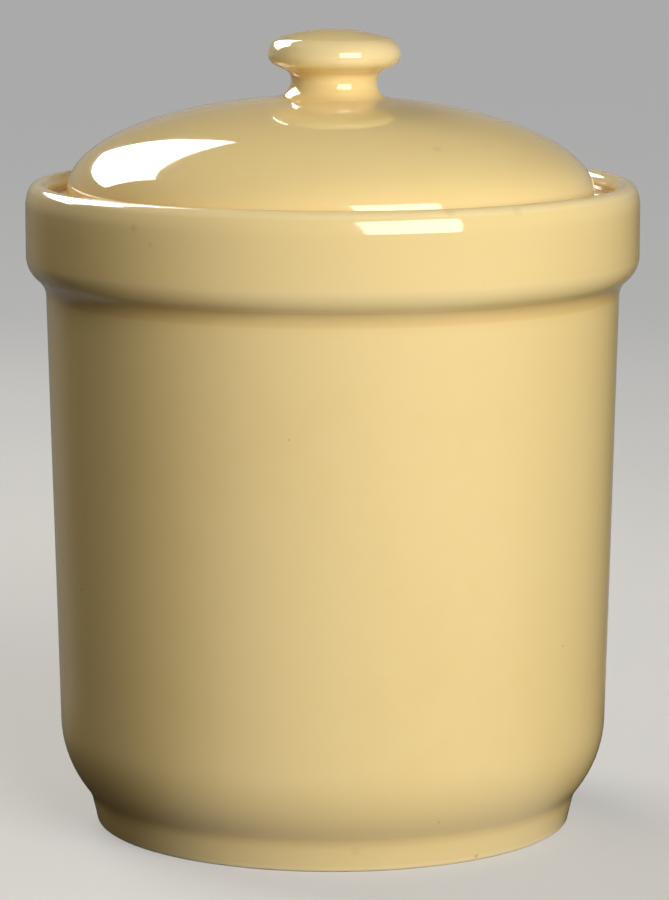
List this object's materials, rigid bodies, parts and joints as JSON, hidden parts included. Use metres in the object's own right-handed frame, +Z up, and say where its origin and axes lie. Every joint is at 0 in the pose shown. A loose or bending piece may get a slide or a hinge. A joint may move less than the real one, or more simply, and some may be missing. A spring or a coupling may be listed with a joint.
{
  "type": "ceramic canister",
  "caption": "Glazed stoneware storage canister with a foot ring, a thick collar and a domed lid with a turned knob that sits inside the rim",
  "frame": {"origin": "middle of the foot ring, on the surface that the jar stands on", "axes": "+Z up along the axis that both pieces are turned about; X and Y are free, as the object is round"},
  "size_m": [0.176, 0.176, 0.2292],
  "materials": {
    "jar_glaze": "gloss",
    "lid_glaze": "gloss"
  },
  "bodies": {
    "root": {"jar": "jar_glaze", "lid": "lid_glaze"}
  },
  "joints": []
}
